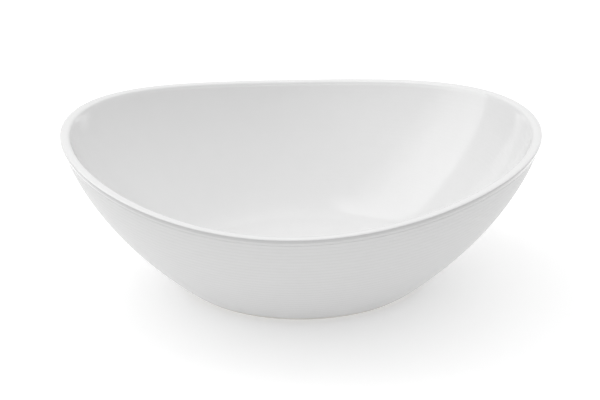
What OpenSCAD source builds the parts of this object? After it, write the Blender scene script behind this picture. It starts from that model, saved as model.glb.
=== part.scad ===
// Round porcelain serving bowl with a saddle rim, glossy inside and finely ribbed outside.
// Origin: centre of the circle on which the foot stands. +Z up, +X towards a raised end of the rim.

/* [Bowl] */
// Diameter of the wall's outside where it would reach the top of the lip
bowl_d = 250; // [200:1:300]
// Height of the rim at its two raised ends
end_height = 82.5; // [70:0.5:100]
// Height of the rim at its two low sides
side_height = 68.5; // [55:0.5:80]
// How far the rim stays above a plain saddle curve between an end and a side
rim_shoulder = 0.45; // [0:0.05:2]
// Warp of the rim in the kiln, which lowers the +X end and raises the -X end
kiln_warp = 0.65; // [0:0.05:1.5]
// Belly of the wall: 0 is a straight cone, 1 is very full
belly = 0.59; // [0.2:0.01:0.7]

/* [Wall] */
// Thickness of the wall, glaze included
wall_t = 4.8; // [3.5:0.1:6]
// Thickness of the floor over the foot recess, glaze included
floor_t = 4.6; // [4:0.1:8]
// Size of the round bend between the floor and the wall
floor_bend = 8; // [4:0.5:12]
// Height of the rounded part of the lip
lip_rise = 1.6; // [1:0.1:2.5]
// Squareness of the lip: 2 is a half ellipse, larger values are flatter on top
lip_square = 3; // [2:0.5:5]

/* [Foot] */
// Diameter on which the outside of the foot meets the table, before its edge is rounded
foot_d = 124; // [100:1:150]
// Inside diameter of the foot ring
foot_bore_d = 110; // [80:1:116]
// Depth of the recess inside the foot ring
foot_h = 2.4; // [1.5:0.1:4]
// Bevel of the foot ring's two ground edges
foot_bevel = 0.7; // [0.3:0.1:1]

/* [Glaze] */
// Thickness of the glaze on the wall, measured level
glaze_t = 0.5; // [0.3:0.05:0.8]
// Thickness of the glaze on the floor, on top of the lip and in the foot recess
thin_glaze_t = 0.4; // [0.2:0.05:0.6]
// Height of the smooth band under the lip, where the inside glaze ends
band_h = 3.9; // [2:0.1:8]

/* [Smoothness] */
// Number of columns around the bowl
columns = 60; // [48:4:96]

/* [Hidden] */
$fn = 96;
rim_r = bowl_d / 2;
foot_r = foot_d / 2;
mean_height = (end_height + side_height) / 2;
saddle = (end_height - side_height) / 2;
floor_z = foot_h + floor_t;

// The wall runs from s = 0 on the table to s = 1 at the lip.
foot_s = foot_h / mean_height;
band_s = 1 - band_h / mean_height;
lip_s = 1 - lip_rise / mean_height;
rim_lean = (rim_r - foot_r) * (1 - belly) / mean_height;
lip_w = wall_t * sqrt(1 + rim_lean * rim_lean);

// The rows of each surface, outside upwards, over the lip and down the inside to the centre.
rib_rows = [for (i = [0:11]) foot_s + (band_s - foot_s) * i / 11];
band_rows = [band_s, (band_s + lip_s) / 2, lip_s];
lip_rows = [25, 60, 90, 120, 155, 180];
inside_top_s = lip_s - 0.06;
inside_low_s = -0.5;
inside_rows = [for (i = [0:15]) inside_top_s + (inside_low_s - inside_top_s) * i / 15];

// The clay is cut level into rim, belly and floor, each cut from an outside row to an inside row.
rim_cut_out = 4;
rim_cut_in = 6;
floor_cut_in = 10;

// Height of the rim in the direction a
function rim_height(a) =
    mean_height + saddle * cos(2 * a) + rim_shoulder * (1 - cos(4 * a)) - kiln_warp * cos(3 * a);

// Radius and height of the outside of the wall: level at the foot, and at the rim as high as rim_height
function out_r(s) = foot_r + (rim_r - foot_r) * (s + belly * s * (1 - s));
function out_z(a, s) = mean_height * s + (rim_height(a) - mean_height) * (s - foot_s) / (1 - foot_s);
function out_run(s) = (rim_r - foot_r) * (1 + belly * (1 - 2 * s));

// Each surface below has two layers: depth 0 is the glaze you touch, depth 1 is the clay under it.
function out_rz(depth, a, s) = [out_r(s) - depth * glaze_t, out_z(a, s)];

// The lip is half of a rounded square that leans with the wall.
function soft_power(v) = sign(v) * pow(abs(v), 2 / lip_square);
function lip_rz(depth, a, turn) =
    let (up = (lip_rise - depth * thin_glaze_t) * soft_power(sin(turn)),
         across = (lip_w / 2 - depth * glaze_t) * soft_power(cos(turn)))
    [out_r(lip_s) - lip_w / 2 + across + rim_lean * up, out_z(a, lip_s) + up];

// The inside lies one wall thickness in from the outside, and bends softly into the floor.
function soft_max(p, q, bend) = (p + q + sqrt((p - q) * (p - q) + bend * bend)) / 2;
function in_rz(depth, a, s) =
    let (thick = wall_t - depth * thin_glaze_t,
         slant = sqrt(mean_height * mean_height + out_run(s) * out_run(s)),
         wall_z = out_z(a, max(s, foot_s)) + mean_height * min(s - foot_s, 0) + thick * out_run(s) / slant)
    [out_r(s) - thick * mean_height / slant, soft_max(wall_z, floor_z - depth * thin_glaze_t, floor_bend)];
function centre_z(depth) = in_rz(depth, 45, inside_low_s)[1];

angles = [for (j = [0:columns - 1]) 360 * j / columns];
function placed(rz, a) = [rz[0] * cos(a), rz[0] * sin(a), rz[1]];
function out_ring(depth, s) = [for (a = angles) placed(out_rz(depth, a, s), a)];
function lip_ring(depth, turn) = [for (a = angles) placed(lip_rz(depth, a, turn), a)];
function in_ring(depth, s) = [for (a = angles) placed(in_rz(depth, a, s), a)];
function reversed(list) = [for (i = [len(list) - 1:-1:0]) list[i]];
function part(list, first, last) = [for (i = [first:last]) list[i]];

// The rings of each stretch of the bowl's surface, at one depth
function rib_rings(depth) = [for (s = rib_rows) out_ring(depth, s)];
function band_rings(depth) = [for (s = band_rows) out_ring(depth, s)];
function lip_rings(depth) = [for (turn = lip_rows) lip_ring(depth, turn)];
function inside_rings(depth) = [for (s = inside_rows) in_ring(depth, s)];
function upper_rings(depth) = concat(band_rings(depth), lip_rings(depth), inside_rings(depth));
bore_ring = [for (a = angles) placed([foot_bore_d / 2, foot_h], a)];

// Two triangles between each pair of neighbours on rings i and k, facing out of a ring that climbs outside.
// Two solids that meet have the same diagonals there: one has its strip plain and the other crossed.
function strip(i, k) = [
    for (j = [0:columns - 1])
        let (n = (j + 1) % columns, low = i * columns, high = k * columns)
        each [[low + j, high + j, high + n], [low + j, high + n, low + n]]];
function crossed_strip(i, k) = [
    for (j = [0:columns - 1])
        let (n = (j + 1) % columns, low = i * columns, high = k * columns)
        each [[low + j, high + j, low + n], [high + j, high + n, low + n]]];
function turned_out(faces, inside_out) = inside_out ? [for (f = faces) reversed(f)] : faces;

// A solid of rings closed by one point under its first ring and one over its last
module capped_loft(rings, first_z, last_z, inside_out = false) {
    count = len(rings);
    first = count * columns;
    points = concat([for (r = rings) each r], [[0, 0, first_z], [0, 0, last_z]]);
    sides = concat(crossed_strip(0, 1), [for (i = [1:count - 2]) each strip(i, i + 1)]);
    first_cap = [for (j = [0:columns - 1]) [first, j, (j + 1) % columns]];
    last_cap = [for (j = [0:columns - 1])
        [first + 1, first - columns + (j + 1) % columns, first - columns + j]];
    polyhedron(points, turned_out(concat(sides, first_cap, last_cap), inside_out), convexity = 4);
}

// A hoop of rings, the last joined to the first
module hoop_loft(rings, inside_out = false) {
    count = len(rings);
    points = [for (r = rings) each r];
    sides = concat([for (i = [0:count - 2]) each strip(i, i + 1)], crossed_strip(count - 1, 0));
    polyhedron(points, turned_out(sides, inside_out), convexity = 4);
}

// The floor of the fired clay, over the foot recess
module clay_floor() {
    inner = inside_rings(1);
    color("ivory")
        capped_loft(
            concat([bore_ring], part(inner, floor_cut_in, len(inner) - 1)),
            foot_h, centre_z(1));
}

// The belly of the fired clay, which bends up from the floor and stands on the foot ring
module clay_belly() {
    color("ivory")
        hoop_loft(concat(
            part(rib_rings(1), 0, rim_cut_out),
            part(inside_rings(1), rim_cut_in, floor_cut_in),
            [bore_ring]));
}

// The upper wall and lip of the fired clay, pulled up at two opposite ends
module clay_rim() {
    ribbed = rib_rings(1);
    band = band_rings(1);
    color("ivory")
        hoop_loft(concat(
            part(ribbed, rim_cut_out, len(ribbed) - 1),
            part(band, 1, len(band) - 1),
            lip_rings(1),
            part(inside_rings(1), 0, rim_cut_in)));
}

// The turned foot ring, bare and ground where it stands
module foot_ring() {
    top_r = out_r(foot_s) - glaze_t;
    bore_r = foot_bore_d / 2;
    color("linen")
        rotate_extrude()
            polygon([
                [bore_r + foot_bevel, 0],
                [foot_r - foot_bevel / 2, 0],
                [foot_r + foot_bevel / 2, foot_bevel],
                [top_r, foot_h],
                [bore_r, foot_h],
                [bore_r, foot_bevel]]);
}

// Clear glossy glaze that lines the inside, rolls over the lip and ends under the smooth band
module inner_glaze() {
    color("white")
        capped_loft(
            concat(reversed(upper_rings(0)), upper_rings(1)),
            centre_z(0), centre_z(1), inside_out = true);
}

// Satin glaze over the ribbed outside, from the foot ring up to the smooth band
module outer_glaze() {
    color("whitesmoke")
        hoop_loft(concat(rib_rings(1), reversed(rib_rings(0))), inside_out = true);
}

// Thin glaze on the underside, inside the foot ring
module base_glaze() {
    color("white")
        translate([0, 0, foot_h - thin_glaze_t])
            cylinder(d = foot_bore_d, h = thin_glaze_t);
}

clay_floor();
clay_belly();
clay_rim();
foot_ring();
inner_glaze();
outer_glaze();
base_glaze();
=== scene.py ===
"""A round porcelain serving bowl with a saddle rim, on a white table in soft light."""
import math

import bpy
import numpy as np
from mathutils import Matrix, Vector


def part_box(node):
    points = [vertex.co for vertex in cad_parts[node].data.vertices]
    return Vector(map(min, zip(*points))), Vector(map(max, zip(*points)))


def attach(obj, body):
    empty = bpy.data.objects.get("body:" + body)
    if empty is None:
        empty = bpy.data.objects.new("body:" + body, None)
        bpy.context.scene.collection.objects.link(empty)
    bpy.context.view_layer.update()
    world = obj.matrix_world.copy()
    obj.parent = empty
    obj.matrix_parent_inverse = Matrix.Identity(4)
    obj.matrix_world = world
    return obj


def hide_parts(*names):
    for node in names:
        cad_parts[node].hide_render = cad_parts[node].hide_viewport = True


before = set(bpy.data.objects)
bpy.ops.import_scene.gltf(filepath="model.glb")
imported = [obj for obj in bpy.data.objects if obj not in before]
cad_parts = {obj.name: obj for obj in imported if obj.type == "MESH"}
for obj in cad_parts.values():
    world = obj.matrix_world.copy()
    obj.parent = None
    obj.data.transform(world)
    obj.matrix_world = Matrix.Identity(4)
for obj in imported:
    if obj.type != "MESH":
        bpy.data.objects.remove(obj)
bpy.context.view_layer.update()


# ---------------------------------------------------------------------------------------------
# Camera. It stands in front of the bowl and looks down into it, turned and tilted by a
# degree or so, with the raised ends left and right.
# ---------------------------------------------------------------------------------------------
LOOK_AT = Vector((-0.0008, 0.0, 0.0416))
CAMERA_TURN = math.radians(1.43)
CAMERA_RISE = math.radians(20.67)
CAMERA_ROLL = math.radians(-0.5)
CAMERA_DISTANCE = 1.2
SENSOR_WIDTH = 36.0
LENS = 137.0

lens_data = bpy.data.cameras.new("camera")
lens_data.sensor_width = SENSOR_WIDTH
lens_data.lens = LENS
lens_data.clip_start = 0.05
camera = bpy.data.objects.new("camera", lens_data)
bpy.context.collection.objects.link(camera)
towards_camera = Matrix.Rotation(CAMERA_TURN, 3, "Z") @ Vector(
    (0, -math.cos(CAMERA_RISE), math.sin(CAMERA_RISE)))
aim = (-towards_camera).to_track_quat("-Z", "Y").to_matrix() @ Matrix.Rotation(CAMERA_ROLL, 3, "Z")
camera.matrix_world = Matrix.Translation(LOOK_AT + CAMERA_DISTANCE * towards_camera) @ aim.to_4x4()
bpy.context.scene.camera = camera


# ---------------------------------------------------------------------------------------------
# Clay body. One piece of fired porcelain clay: wall, lip and floor, thrown round and then
# pulled up at two opposite ends. The glaze hides it, and it gives the bowl its shape.
# ---------------------------------------------------------------------------------------------
RIM_R = 0.125
FOOT_R = 0.062
FOOT_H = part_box("foot_ring")[1][2]
END_HEIGHT = 0.0825
SIDE_HEIGHT = 0.0685
RIM_SHOULDER = 0.00045
KILN_WARP = 0.00065
BELLY = 0.59
WALL_T = 0.0048
FLOOR_T = 0.0046
FLOOR_BEND = 0.008
LIP_RISE = 0.0016
LIP_SQUARE = 3.0
INSIDE_DROP = 0.03
FLOOR_END_S = -0.5
GLAZE_T = 0.0005
THIN_GLAZE_T = 0.0004
BAND_H = 0.0039
NECK_DEPTH = 0.00012
CLAY_WHITE = (0.80, 0.79, 0.765)
CLAY_SHADE = (0.74, 0.725, 0.69)
RUBBED_GREY = (0.42, 0.41, 0.39)
CLAY_COLUMNS = 180
WALL_ROWS = 40

mean_height = (END_HEIGHT + SIDE_HEIGHT) / 2
saddle = (END_HEIGHT - SIDE_HEIGHT) / 2
# s is a height as a share of the mean height, 0 at the table and 1 at the rim. The inside runs
# from a little under the lip to an s below 0, where its radius is nearly nothing.
foot_s = FOOT_H / mean_height
band_s = 1 - BAND_H / mean_height
lip_s = 1 - LIP_RISE / mean_height
inside_top_s = lip_s - INSIDE_DROP
rim_lean = (RIM_R - FOOT_R) * (1 - BELLY) / mean_height
lip_w = WALL_T * math.hypot(1, rim_lean)


def rim_height(turn):
    """Height of the rim: a mean, a saddle of two waves, a small fourth wave and a warp of three."""
    return (mean_height + saddle * np.cos(2 * turn) + RIM_SHOULDER * (1 - np.cos(4 * turn))
            - KILN_WARP * np.cos(3 * turn))


def outside_r(s):
    """Radius of the outside, from the foot (s = 0) to the lip (s = 1): straight plus a parabola."""
    return FOOT_R + (RIM_R - FOOT_R) * (s + BELLY * s * (1 - s))


def outside_z(turn, s):
    """Height of the outside: level at the foot, and as high as the rim where s is 1."""
    return mean_height * s + (rim_height(turn) - mean_height) * (s - foot_s) / (1 - foot_s)


def outside(depth, s, turn):
    """Outside surface, with a shallow hollow (sine squared) under the lip. Depth 0 is the top of
    the glaze, and depth 1 is the clay under it."""
    neck = np.clip((s - band_s) / (lip_s - band_s), 0, 1)
    r = outside_r(s) - depth * GLAZE_T - NECK_DEPTH * np.sin(math.pi * neck) ** 2
    return r, outside_z(turn, s)


def lip(depth, around, turn):
    """Lip: half of a superellipse, which is a rounded square, from the outside (0) over
    the top to the inside (pi)."""
    up = np.sin(around) ** (2 / LIP_SQUARE) * (LIP_RISE - depth * THIN_GLAZE_T)
    half = np.sign(np.cos(around)) * np.abs(np.cos(around)) ** (2 / LIP_SQUARE)
    r = outside_r(lip_s) - lip_w / 2 + half * (lip_w / 2 - depth * GLAZE_T) + rim_lean * up
    return r, outside_z(turn, lip_s) + up


def inside(depth, s, turn):
    """Inside: the outside moved in square to itself by the wall, and joined to the flat floor by the
    higher of the two, rounded where they cross (half of their sum and of a hypotenuse)."""
    thick = WALL_T - depth * THIN_GLAZE_T
    run = (RIM_R - FOOT_R) * (1 + BELLY * (1 - 2 * s))
    slant = np.hypot(mean_height, run)
    wall_z = (outside_z(turn, np.maximum(s, foot_s)) + mean_height * np.minimum(s - foot_s, 0)
              + thick * run / slant)
    floor_z = FOOT_H + FLOOR_T - depth * THIN_GLAZE_T
    bend = np.hypot(wall_z - floor_z, FLOOR_BEND)
    return outside_r(s) - thick * mean_height / slant, (wall_z + floor_z + bend) / 2


def rings(surface, depth, steps, columns):
    """Grid of points, one row for each step along the surface and one column for each turn."""
    turn = np.arange(columns) * 2 * math.pi / columns
    r, z = surface(depth, np.asarray(steps)[:, None], turn[None, :])
    r, z = np.broadcast_arrays(r, z)
    return np.stack([r * np.cos(turn), r * np.sin(turn), z], axis=-1)


def uv_points(turns, metres):
    """UV points from turns around the bowl and metres along the rows."""
    return np.stack(np.broadcast_arrays(turns, metres), axis=-1)


def lofted(name, rows, hoop=False, flip=False, marks=None):
    """Closed mesh of rings of points. A hoop joins its last ring to the first, and any other
    loft is closed by a point at the middle of its first ring and of its last.
    UV: turns around the bowl, and metres along the rows. marks is a value for each ring."""
    count, columns = rows.shape[:2]
    points = rows.reshape(-1, 3)
    j = np.arange(columns)
    low = np.arange(count if hoop else count - 1)[:, None]
    high = (low + 1) % count
    here, there = j[None, :], ((j + 1) % columns)[None, :]
    quads = np.stack([low * columns + here, low * columns + there,
                      high * columns + there, high * columns + here], axis=-1).reshape(-1, 4)
    step = np.linalg.norm(np.diff(rows.mean(axis=1), axis=0), axis=1)
    step = np.maximum(step, np.abs(np.diff(np.linalg.norm(rows[:, 0], axis=1))))
    along = np.concatenate([[0], np.cumsum(step)])
    turn_low, turn_high = j / columns, (j + 1) / columns
    uv = np.stack([
        uv_points(turn_low, along[low]), uv_points(turn_high, along[low]),
        uv_points(turn_high, along[high]), uv_points(turn_low, along[high])], axis=-2).reshape(-1, 2)
    corners, sizes = quads.reshape(-1), np.full(len(quads), 4)
    values = np.repeat(np.zeros(count) if marks is None else np.asarray(marks), columns)
    if not hoop:
        first = len(points)
        points = np.concatenate([points, rows[[0, -1]].mean(axis=1)])
        values = np.concatenate([values, [values[0], values[-1]]])
        last_ring = (count - 1) * columns
        caps = np.concatenate([
            np.stack([np.full(columns, first), (j + 1) % columns, j], -1),
            np.stack([np.full(columns, first + 1), last_ring + j, last_ring + (j + 1) % columns], -1)])
        middle = (turn_low + turn_high) / 2
        first_uv = np.stack([uv_points(middle, 0), uv_points(turn_high, 0), uv_points(turn_low, 0)], 1)
        last_uv = np.stack([uv_points(middle, along[-1]), uv_points(turn_low, along[-1]),
                            uv_points(turn_high, along[-1])], axis=1)
        corners = np.concatenate([corners, caps.reshape(-1)])
        sizes = np.concatenate([sizes, np.full(len(caps), 3)])
        uv = np.concatenate([uv, first_uv.reshape(-1, 2), last_uv.reshape(-1, 2)])
    mesh = bpy.data.meshes.new(name)
    mesh.vertices.add(len(points))
    mesh.vertices.foreach_set("co", points.reshape(-1))
    mesh.loops.add(len(corners))
    mesh.loops.foreach_set("vertex_index", corners)
    mesh.polygons.add(len(sizes))
    mesh.polygons.foreach_set("loop_start", np.concatenate([[0], np.cumsum(sizes)[:-1]]))
    mesh.uv_layers.new(name="surface").data.foreach_set("uv", uv.reshape(-1))
    mesh.attributes.new("mark", "FLOAT", "POINT").data.foreach_set("value", values)
    mesh.update(calc_edges=True)
    mesh.validate()
    if flip:
        mesh.flip_normals()
    mesh.shade_smooth()
    piece = bpy.data.objects.new(name, mesh)
    bpy.context.collection.objects.link(piece)
    return piece


def lined_rows(depth, band_rows, lip_rows, inside_rows, columns):
    """Rings up the smooth band, over the lip, and down the inside to the middle of the floor."""
    return np.concatenate([
        rings(outside, depth, np.linspace(band_s, lip_s, band_rows), columns),
        rings(lip, depth, np.linspace(0, math.pi, lip_rows)[1:], columns),
        rings(inside, depth, np.linspace(inside_top_s, FLOOR_END_S, inside_rows), columns)])


def new_material(name):
    """Material with its nodes, and a maker of new nodes that takes a type and socket values."""
    material = bpy.data.materials.new(name)
    material.use_nodes = True
    material.node_tree.nodes.clear()
    return material, node_maker(material.node_tree)


def node_maker(tree):
    """Function that adds a node to the tree. A value that is a socket is linked instead of set."""
    def add(kind, values=None, **settings):
        made = tree.nodes.new(kind)
        for key, value in settings.items():
            setattr(made, key, value)
        for key, value in (values or {}).items():
            if isinstance(value, bpy.types.NodeSocket):
                tree.links.new(value, made.inputs[key])
            else:
                made.inputs[key].default_value = value
        return made
    return add


def maths(add, operation, *values):
    """Result of one step of arithmetic on sockets and numbers."""
    return add("ShaderNodeMath", dict(enumerate(values)), operation=operation).outputs[0]


def blended(add, share, first, second, blend_type="MIX"):
    """Colour that goes from the first to the second as the share goes from 0 to 1."""
    mix = add("ShaderNodeMix", {0: share, 6: first, 7: second}, data_type="RGBA", blend_type=blend_type)
    return mix.outputs[2]


def new_group(name, inputs, outputs):
    """Shader node group with named inputs (and their first values) and named outputs."""
    tree = bpy.data.node_groups.new(name, "ShaderNodeTree")
    for socket, kind, value in inputs:
        tree.interface.new_socket(socket, in_out="INPUT", socket_type=kind).default_value = value
    for socket, kind in outputs:
        tree.interface.new_socket(socket, in_out="OUTPUT", socket_type=kind)
    add = node_maker(tree)
    return tree, add, add("NodeGroupInput").outputs


def soft_mottle_group():
    """Slow cloudiness of a fired surface: the colour goes to the tint with two noises multiplied."""
    tree, add, given = new_group(
        "soft mottle",
        [("Colour", "NodeSocketColor", (0.8, 0.8, 0.8, 1)), ("Tint", "NodeSocketColor", (0.7, 0.7, 0.7, 1)),
         ("Size", "NodeSocketFloat", 20.0), ("Amount", "NodeSocketFloat", 0.5)],
        [("Colour", "NodeSocketColor")])
    place = add("ShaderNodeTexCoord").outputs["Object"]
    broad = add("ShaderNodeTexNoise", {"Vector": place, "Scale": given["Size"], "Detail": 3.0})
    fine_scale = maths(add, "MULTIPLY", given["Size"], 7.0)
    fine = add("ShaderNodeTexNoise", {"Vector": place, "Scale": fine_scale, "Detail": 2.0})
    both = maths(add, "MULTIPLY", broad.outputs[0], fine.outputs[0])
    mask = add("ShaderNodeMapRange", {"Value": both, "From Min": 0.12, "From Max": 0.42})
    share = maths(add, "MULTIPLY", mask.outputs[0], given["Amount"])
    add("NodeGroupOutput", {"Colour": blended(add, share, given["Colour"], given["Tint"])})
    return tree


def fine_grain_group():
    """Fine grain: a height of small noise, and a roughness that follows it."""
    tree, add, given = new_group(
        "fine grain",
        [("Scale", "NodeSocketFloat", 1500.0), ("Roughness", "NodeSocketFloat", 0.5),
         ("Spread", "NodeSocketFloat", 0.1)],
        [("Height", "NodeSocketFloat"), ("Roughness", "NodeSocketFloat")])
    place = add("ShaderNodeTexCoord").outputs["Object"]
    noise = add("ShaderNodeTexNoise", {"Vector": place, "Scale": given["Scale"], "Detail": 4.0})
    centred = maths(add, "SUBTRACT", noise.outputs[0], 0.5)
    roughness = maths(add, "MULTIPLY_ADD", centred, given["Spread"], given["Roughness"])
    add("NodeGroupOutput", {"Height": noise.outputs[0], "Roughness": roughness})
    return tree


soft_mottle = soft_mottle_group()
fine_grain = fine_grain_group()


def bare_clay_material():
    """Unglazed fired porcelain: matte and chalky white, with a fine grain and faint clouds."""
    material, add = new_material("bare clay")
    clouds = add("ShaderNodeGroup", {"Colour": (*CLAY_WHITE, 1), "Tint": (*CLAY_SHADE, 1), "Size": 60.0},
                 node_tree=soft_mottle)
    grain = add("ShaderNodeGroup", {"Scale": 2200.0, "Roughness": 0.72, "Spread": 0.2},
                node_tree=fine_grain)
    bump = add("ShaderNodeBump", {"Height": grain.outputs["Height"], "Strength": 0.5, "Distance": 0.00006})
    rubbed = add("ShaderNodeAttribute", attribute_name="mark").outputs["Fac"]
    toned = blended(add, rubbed, clouds.outputs["Colour"], (*RUBBED_GREY, 1))
    shader = add("ShaderNodeBsdfPrincipled", {
        "Base Color": toned, "Roughness": grain.outputs["Roughness"],
        "Normal": bump.outputs[0], "IOR": 1.5, "Specular IOR Level": 0.35})
    add("ShaderNodeOutputMaterial", {"Surface": shader.outputs[0]})
    return material


bare_clay = bare_clay_material()
wall_rows = rings(outside, 1, np.linspace(foot_s, band_s, WALL_ROWS), CLAY_COLUMNS)
upper_rows = lined_rows(depth=1, band_rows=4, lip_rows=14, inside_rows=60, columns=CLAY_COLUMNS)
clay_body = lofted("clay_body", np.concatenate([wall_rows, upper_rows[1:]]))
clay_body.data.materials.append(bare_clay)
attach(clay_body, "root")
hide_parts("clay_floor", "clay_belly", "clay_rim")


# ---------------------------------------------------------------------------------------------
# Foot ring. A ring of the same clay, turned on the wheel with rounded edges. It is wiped clean
# before firing and its face is ground flat, so it stays bare and stands level.
# ---------------------------------------------------------------------------------------------
FOOT_EDGE_R = 0.0007
FOOT_FACE_POINTS = 12
FOOT_CORNER_START = -35
FOOT_COLUMNS = 256
RUBBED_FACE, RUBBED_EDGE, RUBBED_SIDE = 0.5, 0.35, 0.1

base_low, base_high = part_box("base_glaze")
bore_r = (base_high[0] - base_low[0]) / 2


def round_corner(r, z, radius, start, end, count=7):
    """Points of a round corner: an arc about (r, z) between two angles in degrees."""
    angles = np.radians(np.linspace(start, end, count))
    return np.stack([r + radius * np.cos(angles), z + radius * np.sin(angles)], -1)


foot_top_r = outside_r(foot_s) - GLAZE_T
foot_face = np.linspace(FOOT_R - FOOT_EDGE_R, bore_r + FOOT_EDGE_R, FOOT_FACE_POINTS)
foot_outline = np.concatenate([
    [[foot_top_r, FOOT_H]],
    round_corner(FOOT_R - FOOT_EDGE_R, FOOT_EDGE_R, FOOT_EDGE_R, FOOT_CORNER_START, -90),
    np.stack([foot_face, 0 * foot_face], -1)[1:-1],
    round_corner(bore_r + FOOT_EDGE_R, FOOT_EDGE_R, FOOT_EDGE_R, -90, -180),
    [[bore_r, FOOT_H]]])


def turned_foot(depth, step, turn):
    """Points of the foot's outline, the same all the way around."""
    return foot_outline[step, 0] + 0 * turn, foot_outline[step, 1] + 0 * turn


rubbed = np.interp(foot_outline[:, 1], [0, FOOT_EDGE_R, 2 * FOOT_EDGE_R],
                   [RUBBED_FACE, RUBBED_EDGE, RUBBED_SIDE])
foot_ring = lofted("foot_ring_clay", rings(turned_foot, 0, np.arange(len(foot_outline)), FOOT_COLUMNS),
                   hoop=True, flip=True, marks=rubbed)
foot_ring.data.materials.append(bare_clay)
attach(foot_ring, "root")
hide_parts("foot_ring")


# ---------------------------------------------------------------------------------------------
# Inside glaze. Clear glossy glaze poured round the inside and over the lip, down to the edge of
# the smooth band. The clay's faint throwing rings show through it.
# ---------------------------------------------------------------------------------------------
GLOSS_WHITE = (0.84, 0.84, 0.84)
GLOSS_SHADE = (0.82, 0.82, 0.82)
# The band's own grey, then painted shade under the lip, darkest on the top of the band and the outer side of
# the lip.
BAND_TONE = 0.68
LIP_SHADE_TONE = 0.55
LIP_SHADE_ON_BAND = (0.4, 0.8)
LIP_SHADE_ON_LIP = (0.3, 0.75)
BAND_ROWS = 16
LIP_ROWS = 30
RING_PITCH = 0.0026
RING_SHARE = 0.6
INSIDE_COLUMNS = 320


def gloss_material():
    """Clear glaze on white clay: glossy, with slow waves and the throwing rings under it, and greyer by the
    mark of each ring: the band's own grey and the painted shade under the lip."""
    material, add = new_material("gloss glaze")
    clouds = add("ShaderNodeGroup", {"Colour": (*GLOSS_WHITE, 1), "Tint": (*GLOSS_SHADE, 1), "Size": 12.0},
                 node_tree=soft_mottle)
    # The mark holds the band's own grey and the painted shade under the lip.
    tone_and_shade = add("ShaderNodeAttribute", attribute_name="mark").outputs["Fac"]
    toned = blended(add, 1.0, clouds.outputs["Colour"], tone_and_shade, "MULTIPLY")
    surface = add("ShaderNodeUVMap", uv_map="surface").outputs[0]
    rings_map = add("ShaderNodeMapping", {"Vector": surface, "Scale": (0.0, 2 / RING_PITCH, 1.0)})
    wave = add("ShaderNodeTexNoise", {"Vector": rings_map.outputs[0], "Scale": 1.0, "Detail": 2.0})
    place = add("ShaderNodeTexCoord").outputs["Object"]
    peel = add("ShaderNodeTexNoise", {"Vector": place, "Scale": 90.0, "Detail": 1.0})
    height = maths(add, "MULTIPLY_ADD", wave.outputs[0], RING_SHARE, peel.outputs[0])
    bump = add("ShaderNodeBump", {"Height": height, "Strength": 0.55, "Distance": 0.0001})
    grain = add("ShaderNodeGroup", {"Scale": 300.0, "Roughness": 0.12, "Spread": 0.05},
                node_tree=fine_grain)
    shader = add("ShaderNodeBsdfPrincipled", {
        "Base Color": toned, "Roughness": grain.outputs["Roughness"],
        "Normal": bump.outputs[0], "IOR": 1.5})
    add("ShaderNodeOutputMaterial", {"Surface": shader.outputs[0]})
    return material


# Painted shade under the lip: the band goes from its own grey to painted shade upwards, and the painted shade
# on the lip clears as it turns over.
band_tone_and_shade = np.interp(np.linspace(0, 1, BAND_ROWS), LIP_SHADE_ON_BAND, [BAND_TONE, LIP_SHADE_TONE])
lip_shade = np.interp(np.linspace(0, math.pi, LIP_ROWS)[1:], LIP_SHADE_ON_LIP, [LIP_SHADE_TONE, 1])
glaze_top = lined_rows(0, BAND_ROWS, LIP_ROWS, inside_rows=130, columns=INSIDE_COLUMNS)
glaze_under = lined_rows(1, band_rows=3, lip_rows=14, inside_rows=40, columns=INSIDE_COLUMNS)
inside_tone = np.ones(len(glaze_top) - len(band_tone_and_shade) - len(lip_shade))
top_tone_and_shade = np.concatenate([band_tone_and_shade, lip_shade, inside_tone])
inside_glaze = lofted("inside_glaze", np.concatenate([glaze_top[::-1], glaze_under]), flip=True,
                      marks=np.concatenate([top_tone_and_shade[::-1], np.ones(len(glaze_under))]))
inside_glaze.data.materials.append(gloss_material())
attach(inside_glaze, "root")
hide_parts("inner_glaze")


# ---------------------------------------------------------------------------------------------
# Outside glaze. A thin satin glaze over the wall, which a comb has cut into fine ribs while the
# clay turned. They lie level at the foot and follow the rim at the top. It stops at the foot ring.
# ---------------------------------------------------------------------------------------------
SATIN_WHITE = (0.57, 0.57, 0.57)
SATIN_SHADE = (0.56, 0.56, 0.56)
GROOVE_SHADE_TONE = 0.95
RIB_COUNT = 29
RIB_DEPTH = 0.0001
CREST_ROUND = 0.6
ROWS_PER_RIB = 6
OUTSIDE_COLUMNS = 360
UNDER_ROWS = 25


def rib_crest(s):
    """Height of a rib from 0 in its groove to 1 on its crest: a sine to a power under 1, which makes
    the crests round and the grooves narrow."""
    rib = (s - foot_s) / (band_s - foot_s) * RIB_COUNT
    return np.abs(np.sin(math.pi * rib)) ** CREST_ROUND


def ribbed_outside(depth, s, turn):
    """Outside surface with the ribs cut into it."""
    r, z = outside(depth, s, turn)
    return r - RIB_DEPTH * (1 - rib_crest(s)), z


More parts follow.
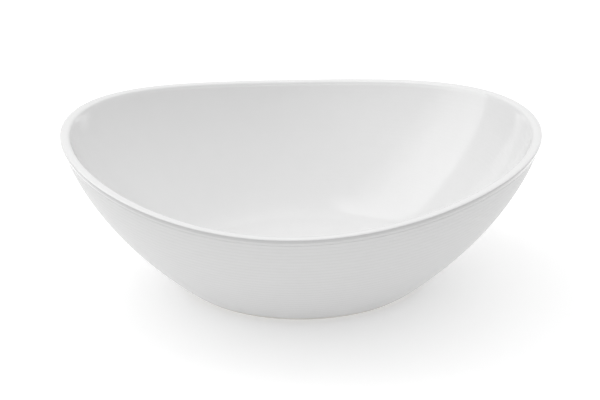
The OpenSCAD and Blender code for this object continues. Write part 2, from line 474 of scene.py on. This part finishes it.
def satin_material():
    """Satin glaze: soft sheen with fine grain, and painted shade that makes it a little greyer in the
    grooves.
    """
    material, add = new_material("satin glaze")
    clouds = add("ShaderNodeGroup", {"Colour": (*SATIN_WHITE, 1), "Tint": (*SATIN_SHADE, 1), "Size": 15.0},
                 node_tree=soft_mottle)
    # Painted shade in the grooves, by the rib crest mark.
    crest = add("ShaderNodeAttribute", attribute_name="mark").outputs["Fac"]
    shade = add("ShaderNodeMapRange", {"Value": crest, "To Min": GROOVE_SHADE_TONE})
    toned = blended(add, 1.0, clouds.outputs["Colour"], shade.outputs[0], "MULTIPLY")
    grain = add("ShaderNodeGroup", {"Scale": 900.0, "Roughness": 0.42, "Spread": 0.1},
                node_tree=fine_grain)
    bump = add("ShaderNodeBump", {"Height": grain.outputs["Height"], "Strength": 0.2, "Distance": 0.00005})
    shader = add("ShaderNodeBsdfPrincipled", {
        "Base Color": toned, "Roughness": grain.outputs["Roughness"],
        "Normal": bump.outputs[0], "IOR": 1.5})
    add("ShaderNodeOutputMaterial", {"Surface": shader.outputs[0]})
    return material


rib_steps = np.linspace(foot_s, band_s, RIB_COUNT * ROWS_PER_RIB + 1)
under_steps = np.linspace(foot_s, band_s, UNDER_ROWS)
outside_glaze = lofted(
    "outside_glaze",
    np.concatenate([rings(outside, 1, under_steps, OUTSIDE_COLUMNS),
                    rings(ribbed_outside, 0, rib_steps[::-1], OUTSIDE_COLUMNS)]),
    marks=np.concatenate([np.ones(len(under_steps)), rib_crest(rib_steps[::-1])]),
    hoop=True, flip=True)
outside_glaze.data.materials.append(satin_material())
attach(outside_glaze, "root")
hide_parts("outer_glaze")


# ---------------------------------------------------------------------------------------------
# Base glaze. A thin coat on the underside, inside the foot ring, that creeps a little way down
# the ring where the two meet.
# ---------------------------------------------------------------------------------------------
CREEP = 0.0012
CREEP_DROP = 0.4 * CREEP
CURL_END = 0.999
MIDDLE_SHARE = 0.02
SKIN_ROWS = 60
TOP_ROW_STEP = 6


def base_skin(depth, share, turn):
    """Under face of the base glaze: level, and curling down in a quarter ellipse at its edge."""
    r = bore_r * np.sqrt(share)
    curl = np.clip((r - (bore_r - CREEP)) / CREEP, 0, 1)
    drop = CREEP_DROP * (1 - np.sqrt(1 - CURL_END * curl ** 2))
    return r + 0 * turn, base_low[2] - drop + 0 * turn


def base_top(depth, share, turn):
    """Upper face of the base glaze, against the clay."""
    return bore_r * share + 0 * turn, base_high[2] + 0 * turn


skin_share = np.linspace(MIDDLE_SHARE, 1, SKIN_ROWS)
top_share = skin_share[::-TOP_ROW_STEP]
base_glaze = lofted(
    "base_glaze_skin",
    np.concatenate([rings(base_skin, 0, skin_share, FOOT_COLUMNS),
                    rings(base_top, 0, top_share, FOOT_COLUMNS)]),
    marks=np.ones(len(skin_share) + len(top_share)))
base_glaze.data.materials.append(inside_glaze.data.materials[0])
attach(base_glaze, "root")
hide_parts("base_glaze")


# ---------------------------------------------------------------------------------------------
# Table and light. A plain white light table, one large soft box high on the left that leans back
# and fades towards its front, and a white room that is brightest overhead, high behind and low
# on the left. The table lights the bowl from below more than its own top shows.
# ---------------------------------------------------------------------------------------------
TABLE_SIZE = 8.0
TABLE_WHITE = (0.92, 0.92, 0.92)
TABLE_GLOW = 0.41
TABLE_TOP_GLOW = 0.24
BOX_TURN, BOX_RISE, BOX_DISTANCE = 166.3, 32.1, 1.6
BOX_LEAN = math.radians(22.0)
BOX_FOOT, BOX_HEAD = -0.6, 1.6
BOX_STRIPS = [(-0.54, 0.15, 1.34), (0.15, 0.27, 1.00), (0.27, 0.39, 0.67), (0.39, 0.51, 0.33)]
ROOM_GLOWS = [((210.0, 0.0), 4.0, 0.46), ((270.0, 10.0), 6.0, 0.26), ((90.0, 20.0), 4.0, 0.22),
              ((60.0, 50.0), 4.0, 0.50), ((0.0, 0.0), 1.0, 0.10), ((0.0, 90.0), 2.0, 0.65)]

table_mesh = bpy.data.meshes.new("table_top")
half = TABLE_SIZE / 2
table_mesh.from_pydata([(-half, -half, 0), (half, -half, 0), (half, half, 0), (-half, half, 0)], [],
                       [(0, 1, 2, 3)])
table_top = bpy.data.objects.new("table_top", table_mesh)
bpy.context.collection.objects.link(table_top)
table_material, add = new_material("white table")
seen = add("ShaderNodeLightPath").outputs["Is Camera Ray"]
glow = add("ShaderNodeMapRange", {"Value": seen, "To Min": TABLE_GLOW, "To Max": TABLE_TOP_GLOW})
table_shader = add("ShaderNodeBsdfPrincipled", {
    "Base Color": (*TABLE_WHITE, 1), "Roughness": 0.9, "Specular IOR Level": 0.1,
    "Emission Color": (1, 1, 1, 1), "Emission Strength": glow.outputs[0]})
add("ShaderNodeOutputMaterial", {"Surface": table_shader.outputs[0]})
table_mesh.materials.append(table_material)


def pointing(turn, rise):
    """Unit vector at a turn about the upright axis and a rise above level, both in degrees."""
    turn, rise = math.radians(turn), math.radians(rise)
    return Vector((math.cos(rise) * math.cos(turn), math.cos(rise) * math.sin(turn), math.sin(rise)))


def soft_box_strip(left, right, brightness):
    """Upright strip of the soft box, aimed at the bowl and leaning. Power is pi x area x brightness."""
    width, height = right - left, BOX_HEAD - BOX_FOOT
    data = bpy.data.lights.new("soft_box", "AREA")
    data.shape = "RECTANGLE"
    data.size, data.size_y = width, height
    data.energy = math.pi * width * height * brightness
    light = bpy.data.objects.new("soft_box", data)
    bpy.context.collection.objects.link(light)
    away = pointing(BOX_TURN, BOX_RISE)
    light.matrix_world = Matrix.Translation(LOOK_AT + BOX_DISTANCE * away) @ (
        (-away).to_track_quat("-Z", "Y").to_matrix().to_4x4()) @ Matrix.Rotation(BOX_LEAN, 4, "Z") @ (
        Matrix.Translation(((left + right) / 2, (BOX_FOOT + BOX_HEAD) / 2, 0)))


def room_light(glows):
    """White room: the sum of glows, each strength times ((1 + cosine from its middle) / 2) ^ power.
    Straight from the camera its walls are plain white."""
    room = bpy.data.worlds.new("white room")
    room.use_nodes = True
    add = node_maker(room.node_tree)
    direction = add("ShaderNodeTexCoord").outputs["Generated"]
    total = 0.0
    for (turn, rise), power, strength in glows:
        cosine = add("ShaderNodeVectorMath", {0: direction, 1: pointing(turn, rise)}, operation="DOT_PRODUCT")
        share = maths(add, "MULTIPLY_ADD", cosine.outputs["Value"], 0.5, 0.5)
        total = maths(add, "MULTIPLY_ADD", maths(add, "POWER", share, power), strength, total)
    seen = add("ShaderNodeLightPath").outputs["Is Camera Ray"]
    background = room.node_tree.nodes["Background"]
    room.node_tree.links.new(maths(add, "MAXIMUM", total, seen), background.inputs["Strength"])
    background.inputs["Color"].default_value = (1, 1, 1, 1)
    return room


for strip in BOX_STRIPS:
    soft_box_strip(*strip)
bpy.context.scene.world = room_light(ROOM_GLOWS)
bpy.context.scene.view_settings.view_transform = "Standard"
